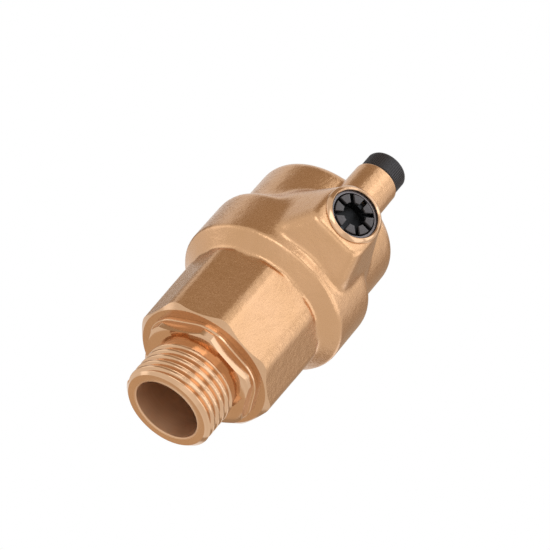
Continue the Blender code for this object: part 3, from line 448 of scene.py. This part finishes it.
def skirt_form():
    """The octagonal skirt, its corners rounded, and chamfered at the top by a turned envelope."""
    low = HOUSING_LOW - 2
    high = SKIRT_TOP + 1.5
    corner_rounding = 1.8
    beside_r = SKIRT_CORNER_R + 1
    end_r = SKIRT_HIGH_FLATS / 2 - 0.5
    chamfer_low = SKIRT_TOP - 1.15
    chamfer_high = chamfer_low + SKIRT_CORNER_R - end_r
    skirt = prism(SKIRT_SIDES, SKIRT_LOW_FLATS, low, high, SKIRT_TURN, SKIRT_HIGH_FLATS)
    round_edges(skirt, upright_edges(skirt, 1), corner_rounding, 4)
    skirt = temporary(skirt)
    outline = [(0, 0), (beside_r, 0), (SKIRT_CORNER_R, chamfer_low), (end_r, chamfer_high), (0, chamfer_high)]
    combine(skirt, "INTERSECT", temporary(turned(outline, STEPS)))
    return skirt


def body_form():
    """The round body: a cone up to the bulge, the bulge, the shoulder's fillet and the dome."""
    root_r = SKIRT_HIGH_FLATS / 2 - 0.2
    root_low = SKIRT_TOP - 1
    root_high = SKIRT_TOP + 0.2
    low_rounding = 0.7
    low_from = -50
    low_lift = 0.42
    high_rounding = 2.2
    high_to = 75
    fillet = 0.8
    dome_rounding = 3.0
    outline = [(0, root_low), (root_r, root_low), (root_r, root_high)]
    outline += arc(BULGE_R - low_rounding, BULGE_LOW + low_lift, low_rounding, low_from, 0)
    outline += arc(BULGE_R - high_rounding, BULGE_HIGH, high_rounding, 0, high_to, 8)
    outline += arc(DOME_R + fillet, SHOULDER + fillet, fillet, 270, 180)
    outline += arc(DOME_R - dome_rounding, DOME_TOP - dome_rounding, dome_rounding, 0, 90, 10)
    return temporary(turned(outline + [(0, DOME_TOP)], STEPS))


def post_form():
    """The vent post, cast taller than it ends up, because its nipple is machined from it."""
    low = 46
    low_r = 5.0
    port_level_r = 5.4
    top_r = 5.22
    raw_top = POST_TOP + 3.5
    outline = [(0, low), (low_r, low), (port_level_r, PORT_Z), (top_r, POST_TOP)]
    outline += [(top_r, raw_top), (0, raw_top)]
    return temporary(turned(outline, 96), POST_PLACE)


def machining_tool():
    """Everything that is machined away from the casting, as one solid."""
    chamber_top = 63.4
    chamber_r = 14.45
    chamber_edge = 1.5
    wide_r = 17.35
    wide_low = 38.8
    thread_r = 13.4
    thread_low = 21.2
    thread_high = 33.5
    mouth_r = 13.0
    foot_r = 15.4
    foot_chamfer = 1.7
    clear_r = 22.0
    below = 5
    foot_slope = foot_chamfer / (SKIRT_CORNER_R - foot_r)
    chamber = [(0, chamber_top), (chamber_r - chamber_edge, chamber_top)]
    chamber += [(chamber_r, chamber_top - chamber_edge), (chamber_r, SHOULDER)]
    chamber += [(wide_r, BULGE_HIGH), (wide_r, wide_low), (thread_r, thread_high), (thread_r, thread_low)]
    chamber += [(mouth_r, thread_low), (mouth_r, HOUSING_LOW)]
    foot = [(foot_r, HOUSING_LOW), (clear_r, HOUSING_LOW + foot_slope * (clear_r - foot_r))]
    foot += [(clear_r, below), (0, below)]
    tool = temporary(turned(chamber + foot, STEPS))
    boss_low = 13.4
    boss_high = 22
    boss_r = 6.2
    boss = turned([(0, boss_low), (boss_r, boss_low), (boss_r, boss_high), (0, boss_high)], 48)
    combine(tool, "DIFFERENCE", temporary(boss, PORT_PLACE))
    seat_r = 2.8
    seat_low = 12.4
    passage_r = 4.6
    passage_low = 16
    port_r = 5.55
    port_low = 21.5
    ring_r = 5.95
    ring_low = 25.3
    ring_high = 26.5
    rim_r = 5.8
    rim_low = 26.85
    outside = 30
    port = [(0, seat_low), (seat_r, seat_low), (seat_r, passage_low), (passage_r, passage_low)]
    port += [(passage_r, port_low), (port_r, port_low), (port_r, ring_low), (ring_r, ring_low)]
    port += [(ring_r, ring_high), (port_r, ring_high), (port_r, rim_low), (rim_r, PORT_FACE)]
    port += [(rim_r, outside), (0, outside)]
    combine(tool, "UNION", temporary(turned(port, STEPS), PORT_PLACE))
    vent_r = 1.6
    nipple_r = 3.2
    edge = 0.35
    edge_r = 4.87
    flat_r = 4.9
    side_r = 5.23
    beside_r = 7.5
    above = 80
    vent = [(0, PORT_Z), (vent_r, PORT_Z), (vent_r, NIPPLE_TOP), (nipple_r - edge, NIPPLE_TOP)]
    vent += [(nipple_r, NIPPLE_TOP - edge), (nipple_r, POST_TOP), (flat_r, POST_TOP)]
    vent += arc(edge_r, POST_TOP - edge, edge, 80, 0, 3)
    vent += [(side_r, POST_TOP - 1.0), (beside_r, POST_TOP - 0.9), (beside_r, above), (0, above)]
    combine(tool, "UNION", temporary(turned(vent, 96), POST_PLACE))
    return tool


def blend_share(point, middle, reach):
    """How far a point is from the middle of a blend, as a share of its reach, with no limit forwards."""
    across = abs(point.x - middle[0]) / reach[0]
    back = (point.y - middle[1]) / reach[1]
    upright = abs(point.z - middle[2]) / reach[2]
    return max(across, upright, back)


def machined_here(point, normal):
    """Whether a tool has cut this face of the casting, on the port's collar, the post's end or the foot."""
    collar_margin = 0.06
    collar_depth = 0.6
    post_end_low = POST_TOP - 0.02
    post_end_r = 5.3
    foot_height = 2.2
    faces_down = normal.z < -0.5
    from_port = math.hypot(point.x, point.z - PORT_Z)
    from_post = math.hypot(point.x, point.y + POST_OFFSET)
    collar = from_port < COLLAR_R + collar_margin and point.y < -PAD_FACE + collar_depth
    post_end = point.z > post_end_low and from_post < post_end_r
    foot = point.z < HOUSING_LOW + foot_height and faces_down
    return collar or post_end or foot


def cast_skin():
    """The casting as it leaves the mould: the raw forms as one skin, blended round the port's pad."""
    fine_voxel = 0.36
    forms = [skirt_form(), body_form(), temporary(port_pad(), PORT_PLACE), post_form()]
    bm = bmesh.new()
    for form in forms:
        bm.from_mesh(form.data)
    whole = temporary(bm)
    for form in forms:
        bpy.data.objects.remove(form)
    skin = whole.modifiers.new("skin", "REMESH")
    skin.mode = "VOXEL"
    skin.voxel_size = fine_voxel
    settle(whole)
    bm = bmesh.new()
    bm.from_mesh(whole.data)
    smooth = {"factor": 0.5, "use_axis_x": True, "use_axis_y": True, "use_axis_z": True}
    even_rounds = 2
    for index in range(even_rounds):
        bmesh.ops.smooth_vert(bm, verts=bm.verts, **smooth)
    # A blend's middle, reach and rounds: first the pad's left side, which has no edge at all, then the pad.
    blends = (
        ((-12.0, -8.0, 48.5), (7.0, 3.0, 10.0), 100),
        ((0.0, -15.0, 48.5), (15.0, 3.5, 11.0), 24),
    )
    # Fewer points are smoothed in the early rounds, so that a blend fades out towards its reach.
    core = 0.3
    for middle, reaches, rounds in blends:
        shares = [(blend_share(vert.co, middle, reaches), vert) for vert in bm.verts]
        shares = [(share, vert) for share, vert in shares if share < 1]
        for index in range(rounds):
            reach = core + (1 - core) * (index + 1) / rounds
            bmesh.ops.smooth_vert(bm, verts=[vert for share, vert in shares if share < reach], **smooth)
    bm.to_mesh(whole.data)
    bm.free()
    return whole


def make_housing(look, machined_look):
    """The one-piece casting with the port's collar, machined, its cut faces in a finish of their own."""
    root = 20
    foot = 25.4
    whole = cast_skin()
    outline = [(0, root), (COLLAR_R - 0.3, root), (COLLAR_R + 0.1, foot), (COLLAR_R, PORT_FACE - 0.75)]
    outline += [(COLLAR_R - 0.1, PORT_FACE - 0.6), (COLLAR_R - 0.7, PORT_FACE - 0.05)]
    outline += [(COLLAR_R - 0.8, PORT_FACE), (0, PORT_FACE)]
    combine(whole, "UNION", temporary(turned(outline, STEPS), PORT_PLACE))
    combine(whole, "DIFFERENCE", machining_tool())
    clean(whole)
    machined = [machined_here(face.center, face.normal) for face in whole.data.polygons]
    housing = put("cast_housing", whole, look, "valve_body", "housing")
    housing.data.materials.append(machined_look)
    for face, cut in zip(housing.data.polygons, machined):
        face.material_index = int(cut)
    return housing


def thread_groove():
    """The helical groove, its root and the crests beside it rounded as on a pipe thread."""
    flank = 27.5
    crest_end = -3
    root_r = THREAD_R - THREAD_DEPTH
    outside_r = THREAD_R + 0.3
    # A pipe thread's crests and roots are rounded to this share of its pitch.
    rounding = 0.137 * THREAD_PITCH
    half = arc(root_r + rounding, 0, rounding, 180, 180 - (90 - flank), 3)
    cosine = math.cos(math.radians(flank))
    sine = math.sin(math.radians(flank))
    flank_run = THREAD_DEPTH - 2 * rounding * (1 - sine)
    crest_height = 2 * rounding * cosine + flank_run * math.tan(math.radians(flank))
    crest = arc(THREAD_R - rounding, crest_height, rounding, -(90 - flank), crest_end, 4)
    upper = half + crest + [(outside_r, crest[-1][1])]
    lower = [(radius, -height) for radius, height in reversed(upper)]
    outline = lower[:-1] + upper
    # The helix begins below the end face; its first turns are left out, so that it opens on the left.
    helix_low = -1.84
    turns_skipped = 1.44
    start = helix_low + turns_skipped * THREAD_PITCH
    stop = 10.3
    turns = (stop - start) / THREAD_PITCH
    steps_per_turn = 96
    steps = round(turns * steps_per_turn)
    bm = bmesh.new()
    section = bm.faces.new([bm.verts.new((radius, 0, start + height)) for radius, height in outline])
    begin = Matrix.Rotation(math.tau * turns_skipped, 3, "Z")
    bmesh.ops.rotate(bm, verts=bm.verts, cent=(0, 0, 0), matrix=begin)
    bmesh.ops.spin(bm, geom=[section], cent=(0, 0, 0), axis=(0, 0, 1),
                   dvec=(0, 0, turns * THREAD_PITCH / steps),
                   angle=math.tau * turns, steps=steps, use_merge=False)
    bmesh.ops.recalc_face_normals(bm, faces=bm.faces)
    return bm


def connector_hexagon():
    """The spanner hexagon, chamfered as it is turned, and the rounded land between it and the housing."""
    turn = math.radians(36.9)
    flats = 24.6
    high = 13.4
    corner_rounding = 1.6
    face_r = 12.55
    rim_r = 13.5
    rim_low = HEX_LOW + 0.5
    above = 15
    hexagon = prism(6, flats, HEX_LOW, high, turn)
    round_edges(hexagon, upright_edges(hexagon, 1), corner_rounding, 4)
    hexagon = temporary(hexagon)
    outline = [(0, HEX_LOW), (face_r, HEX_LOW), (rim_r, rim_low), (rim_r, above), (0, above)]
    combine(hexagon, "INTERSECT", temporary(turned(outline, STEPS)))
    land_flats = 26.4
    land_low = 13.35
    land_high = HOUSING_LOW - 0.02
    land_middle = 13.6
    land_rounding = 4.5
    rim_rounding = 0.25
    land = prism(6, land_flats, land_low, land_high, turn)
    round_edges(land, upright_edges(land, 0.5), land_rounding, 8)
    level = [edge for edge in land.edges if abs(edge.verts[0].co.z - edge.verts[1].co.z) < 0.1]
    lower_rim = [edge for edge in level if edge.verts[0].co.z < land_middle]
    round_edges(land, lower_rim, rim_rounding, 3)
    combine(hexagon, "UNION", temporary(land))
    return hexagon


def make_connector(look):
    """The turned connector: threaded inlet, hexagon with a rounded land behind it, and the hidden shank."""
    connector = connector_hexagon()
    face_r = 9.55
    lead_in = 0.93
    thread_end = 9.4
    neck_low = 10.2
    neck_r = 9.6
    neck_high = HEX_LOW + 0.3
    blank = [(0, 0), (face_r, 0), (THREAD_R, lead_in), (THREAD_R, thread_end), (neck_r, neck_low)]
    blank += [(neck_r, neck_high), (0, neck_high)]
    combine(connector, "UNION", temporary(turned(blank, STEPS)))
    shank_r = 12.7
    shank_low = HEX_HIGH - 0.3
    groove_r = 11.4
    groove_low = 15.0
    groove_high = 16.6
    chamfer_low = 20.0
    end_r = 12.2
    shank = [(0, shank_low), (shank_r, shank_low), (shank_r, groove_low), (groove_r, groove_low)]
    shank += [(groove_r, groove_high), (shank_r, groove_high), (shank_r, chamfer_low)]
    shank += [(end_r, CONNECTOR_TOP), (0, CONNECTOR_TOP)]
    combine(connector, "UNION", temporary(turned(shank, 96)))
    combine(connector, "DIFFERENCE", temporary(thread_groove()))
    mouth_r = 7.95
    mouth_rounding = 0.4
    wall_r = 7.55
    wall_high = 15.5
    wide_r = 10.2
    wide_low = 16.8
    above = 22
    bore = [(0, -1), (mouth_r, -1), (mouth_r, 0)]
    bore += arc(mouth_r, mouth_rounding, mouth_rounding, 270, 180, 3)[1:]
    bore += [(wall_r, wall_high), (wide_r, wide_low), (wide_r, above), (0, above)]
    combine(connector, "DIFFERENCE", temporary(turned(bore, STEPS)))
    half_notch = 1.5
    notch_floor = 19
    notch_end = 14
    for index in range(2):
        turn = Matrix.Rotation(math.pi / 4 + index * math.pi / 2, 4, "Z")
        notch = block((-notch_end, -half_notch, notch_floor), (notch_end, half_notch, above))
        combine(connector, "DIFFERENCE", temporary(notch, turn))
    clean(connector)
    return put("threaded_connector", connector, look, "valve_body", "connector", sharp=28.0)


def make_cap(look):
    """The vent cap: a moulded cup with sixty fine straight grips round it."""
    grips = 60
    grip_edge = 0.045
    grip_depth = 0.14
    outer_r = 4.66
    inner_r = 3.5
    foot_r = 4.45
    edge = 0.2
    band_high = CAP_TOP - 0.5
    rounding = 0.45
    roof = 72.2
    outline = [(inner_r, CAP_LOW), (foot_r, CAP_LOW), (outer_r, CAP_LOW + edge), (outer_r, band_high)]
    outline += arc(outer_r - rounding, CAP_TOP - rounding, rounding, 0, 90, 5)
    outline += [(0, CAP_TOP), (0, roof), (inner_r, roof)]
    bm = turned(outline, 2 * grips, closed=True)
    upright = [face for face in bm.faces if abs(face.normal.z) < 0.1 and face.calc_area() > 0.5]
    band = [face for face in upright if face.calc_center_median().xy.length > 4.5]
    band.sort(key=lambda face: math.atan2(face.calc_center_median().y, face.calc_center_median().x))
    bmesh.ops.inset_individual(bm, faces=band[::2], thickness=grip_edge, depth=grip_depth,
                               use_even_offset=True)
    bm.normal_update()
    cap = temporary(bm, POST_PLACE)
    return put("knurled_cap", cap, look, "cap", "vent_cap", sharp=25.0)


def make_plug(look):
    """The port's plug: a disc with eight raised pads round a deep star-shaped recess."""
    inner_end = 21.8
    step = 25.3
    front = 26.5
    end_r = 4.95
    foot_r = 5.25
    head_r = 4.65
    end_chamfer = 0.3
    head_edge = 0.08
    outline = [(0, inner_end), (end_r, inner_end), (foot_r, inner_end + end_chamfer), (foot_r, step)]
    outline += [(head_r, step), (head_r, front - head_edge), (head_r - head_edge, front), (0, front)]
    plug = temporary(turned(outline, 96))
    groove_r = 4.15
    beside_r = 5.4
    groove_low = 23.0
    groove_high = 24.6
    groove = [(groove_r, groove_low), (beside_r, groove_low)]
    groove += [(beside_r, groove_high), (groove_r, groove_high)]
    combine(plug, "DIFFERENCE", temporary(turned(groove, 64, closed=True)))
    hollow_r = 3.4
    hollow_low = 22.6
    hollow_high = 25.2
    opening_r = 2.75
    opening_low = 25.5
    above = 27
    hollow = [(0, hollow_low), (hollow_r, hollow_low), (hollow_r, hollow_high)]
    hollow += [(opening_r, opening_low), (opening_r, above), (0, above)]
    star = temporary(turned(hollow, 64))
    half_slot = 0.55
    slot_floor = 24.7
    slot_end = 6
    for index in range(4):
        slot = block((-slot_end, -half_slot, slot_floor), (slot_end, half_slot, above))
        combine(star, "UNION", temporary(slot, Matrix.Rotation(index * math.pi / 4, 4, "Z")))
    combine(plug, "DIFFERENCE", star)
    clean(plug)
    plug.data.transform(PORT_PLACE)
    edge = plug.modifiers.new("edge", "BEVEL")
    edge.width = 0.09
    edge.segments = 2
    edge.limit_method = "ANGLE"
    edge.angle_limit = math.radians(40)
    settle(plug)
    clean(plug)
    return put("castellated_plug", plug, look, "valve_body", "port_plug")


def make_ring(look):
    """The snap ring that holds the plug, an open flat ring in the bore's groove."""
    inner_r = 4.95
    outer_r = 5.65
    low = 25.6
    high = 26.2
    opening_width = 1.6
    middle_r = 5.3
    opening = opening_width / middle_r
    rounding = 0.08
    outline = [(inner_r, low), (outer_r, low), (outer_r, high), (inner_r, high)]
    bm = bmesh.new()
    section = bm.faces.new([bm.verts.new((radius, 0, height)) for radius, height in outline])
    bmesh.ops.spin(bm, geom=[section], cent=(0, 0, 0), axis=(0, 0, 1), angle=math.tau - opening,
                   steps=90, use_merge=False)
    bmesh.ops.recalc_face_normals(bm, faces=bm.faces)
    turn = Matrix.Rotation(opening / 2 - math.pi / 2, 3, "Z")
    bmesh.ops.rotate(bm, verts=bm.verts, cent=(0, 0, 0), matrix=turn)
    sharp = math.radians(60)
    edges = [edge for edge in bm.edges if edge.is_manifold and edge.calc_face_angle(0) > sharp]
    round_edges(bm, edges, rounding, 2)
    return put("snap_ring", temporary(bm, PORT_PLACE), look, "valve_body", "plug_ring")


def dress_nodes(looks):
    """Gives the CAD nodes that stay their finished materials."""
    kept = {
        "steel": ("lever_bracket", "bracket_clip", "lever_pin", "pin_clip", "lever_spring", "lever",
                  "float_link"),
        "rubber": ("connector_seal", "seat_seal", "shutter_pad", "plug_seal", "cap_gasket"),
        "float": ("float_shell", "float_base"),
        "brass": ("valve_seat",),
    }
    for look, nodes in kept.items():
        for node in nodes:
            for slot in bpy.data.objects[node].material_slots:
                slot.material = looks[look]


def make_floor():
    """A pale floor just under the inlet that shows the shadow, clear from below and in reflections."""
    half_side = 900
    gap = 0.05
    bm = bmesh.new()
    bmesh.ops.create_grid(bm, x_segments=1, y_segments=1, size=half_side)
    floor = temporary(bm, Matrix.Translation((0, 0, -gap * MM)) @ Matrix.Scale(MM, 4))
    floor.name = "studio_floor"
    floor.data.name = "studio_floor"
    look = bpy.data.materials.new("pale_floor")
    look.use_nodes = True
    tree = look.node_tree
    paint = tree.nodes["Principled BSDF"]
    paint.inputs["Base Color"].default_value = srgb("EFEFEF")
    paint.inputs["Roughness"].default_value = 0.9
    side = add(tree, "ShaderNodeNewGeometry").outputs["Backfacing"]
    seen = add(tree, "ShaderNodeLightPath").outputs["Is Camera Ray"]
    other = add(tree, "ShaderNodeMath", [(1, seen)], operation="SUBTRACT")
    other.inputs[0].default_value = 1.0
    clear = add(tree, "ShaderNodeMath", [(0, side), (1, other.outputs[0])], operation="MAXIMUM")
    glass = add(tree, "ShaderNodeBsdfTransparent")
    mixed = add(tree, "ShaderNodeMixShader",
                [(0, clear.outputs[0]), (1, paint.outputs[0]), (2, glass.outputs[0])])
    tree.links.new(mixed.outputs[0], tree.nodes["Material Output"].inputs["Surface"])
    floor.data.materials.append(look)


def aim(azimuth, elevation):
    """The middle of the valve and a direction from it, by the valve's own angles in degrees."""
    around = math.radians(azimuth)
    above = math.radians(elevation)
    level = math.cos(above)
    towards = Vector((level * math.cos(around), level * math.sin(around), math.sin(above)))
    middle = Vector((0, -4, 38)) * MM
    return middle, towards


def make_softbox(name, azimuth, elevation, half_width, half_height, brightness):
    """A soft lamp that fills the given half angles, as bright as the given multiple of the white world."""
    distance = 0.9
    middle, towards = aim(azimuth, elevation)
    data = bpy.data.lights.new(name, "AREA")
    data.shape = "RECTANGLE"
    data.size = 2 * distance * math.tan(math.radians(half_width))
    data.size_y = 2 * distance * math.tan(math.radians(half_height))
    data.energy = math.pi * data.size * data.size_y * brightness
    data.color = srgb("E2EEFF")[:3]
    lamp = bpy.data.objects.new(name, data)
    bpy.context.collection.objects.link(lamp)
    lamp.location = middle + towards * distance
    lamp.rotation_euler = towards.to_track_quat("Z", "Y").to_euler()


def make_board(name, azimuth, elevation, half_width, half_height, brightness):
    """A grey board that only the valve's gloss shows, as photographers use to give metal its darks."""
    distance = 0.8
    middle, towards = aim(azimuth, elevation)
    bm = bmesh.new()
    bmesh.ops.create_grid(bm, x_segments=1, y_segments=1, size=distance)
    spread = (math.tan(math.radians(half_width)), math.tan(math.radians(half_height)), 1)
    bmesh.ops.scale(bm, verts=bm.verts, vec=spread)
    turn = towards.to_track_quat("Z", "Y").to_matrix().to_4x4()
    board = temporary(bm, Matrix.Translation(middle + towards * distance) @ turn)
    board.name = name
    board.data.name = name
    look = bpy.data.materials.new(name)
    look.use_nodes = True
    tree = look.node_tree
    # The board's own light is a warm grey, dimmer than the white world round it.
    grey = add(tree, "ShaderNodeEmission", Strength=brightness)
    grey.inputs["Color"].default_value = srgb("FFE8CC")
    tree.links.new(grey.outputs[0], tree.nodes["Material Output"].inputs["Surface"])
    board.data.materials.append(look)
    board.visible_camera = False
    board.visible_shadow = False
    board.visible_diffuse = False
    board.visible_transmission = False


def make_lights():
    """Soft lamps and grey boards round the valve, each with its direction, half angles and brightness."""
    make_softbox("key", -80, 36, 14, 14, 0.95)
    make_softbox("key_low", -88, 12, 12, 10, 2.0)
    make_softbox("right_high", -36, 20, 22, 12, 1.3)
    make_softbox("right_low", -40, -12, 22, 14, 1.1)
    make_softbox("front", -98, -38, 20, 18, 0.6)
    make_softbox("front_left", -130, -24, 14, 14, 2.0)
    make_softbox("left", 160, -15, 16, 16, 0.7)
    make_softbox("top_front", -60, 58, 24, 10, 1.8)
    make_softbox("top_left", -118, 48, 12, 12, 0.9)
    make_softbox("back_right", 38, 8, 14, 12, 0.7)
    make_softbox("under", -72, -66, 20, 14, 0.1)
    make_board("board_top", -165, 42, 26, 20, 0.5)
    make_board("board_left", 126, 22, 18, 14, 0.45)
    make_board("board_back", 45, 42, 26, 16, 0.5)
    make_board("board_right", 60, -12, 18, 14, 0.5)
    make_board("board_under", 84, -38, 18, 12, 0.74)


def make_world():
    """White to the camera and to the gloss, and a dimmer fill for the rest."""
    fill = 0.7
    world = bpy.data.worlds.new("studio")
    bpy.context.scene.world = world
    world.use_nodes = True
    tree = world.node_tree
    back = tree.nodes["Background"]
    back.inputs["Color"].default_value = (1, 1, 1, 1)
    path = add(tree, "ShaderNodeLightPath")
    first = add(tree, "ShaderNodeMath",
                [(0, path.outputs["Is Camera Ray"]), (1, path.outputs["Is Glossy Ray"])],
                operation="MAXIMUM")
    seen = add(tree, "ShaderNodeMath", [(0, first.outputs[0]), (1, path.outputs["Is Transmission Ray"])],
               operation="MAXIMUM")
    level = add(tree, "ShaderNodeMapRange", [("Value", seen.outputs[0])], To_Min=fill, To_Max=1.0)
    tree.links.new(level.outputs[0], back.inputs["Strength"])


def make_camera():
    """The photograph's view: from below and in front of the port side, through a long lens."""
    # The camera that was fitted to the outline in the photograph.
    right = Vector((0.70583, -0.47316, 0.52718))
    up = Vector((-0.7016, -0.36429, 0.61241))
    ahead = Vector((0.09773, 0.80213, 0.5891))
    sensor = 36
    focal_pixels = 3200
    frame_pixels = 550
    data = bpy.data.cameras.new("camera")
    data.sensor_width = sensor
    data.lens = sensor * focal_pixels / frame_pixels
    data.clip_start = 0.05
    data.clip_end = 10
    camera = bpy.data.objects.new("camera", data)
    bpy.context.collection.objects.link(camera)
    place = Matrix((right, up, -ahead)).transposed().to_4x4()
    place.translation = Vector((-69.192, -558.038, -364.971)) * MM
    camera.matrix_world = place
    bpy.context.scene.camera = camera


def main():
    """Builds the whole scene."""
    bpy.context.scene.view_settings.view_transform = "Standard"
    make_camera()
    cast = make_cast_brass()
    brass = make_turned_brass()
    make_housing(cast, make_machined_brass())
    make_connector(brass)
    make_cap(make_cap_plastic())
    make_plug(make_plug_plastic())
    make_ring(make_dark_steel())
    dress_nodes({
        "steel": make_steel(),
        "rubber": make_rubber(),
        "float": make_pale_plastic(),
        "brass": brass,
    })
    make_floor()
    make_world()
    make_lights()


main()
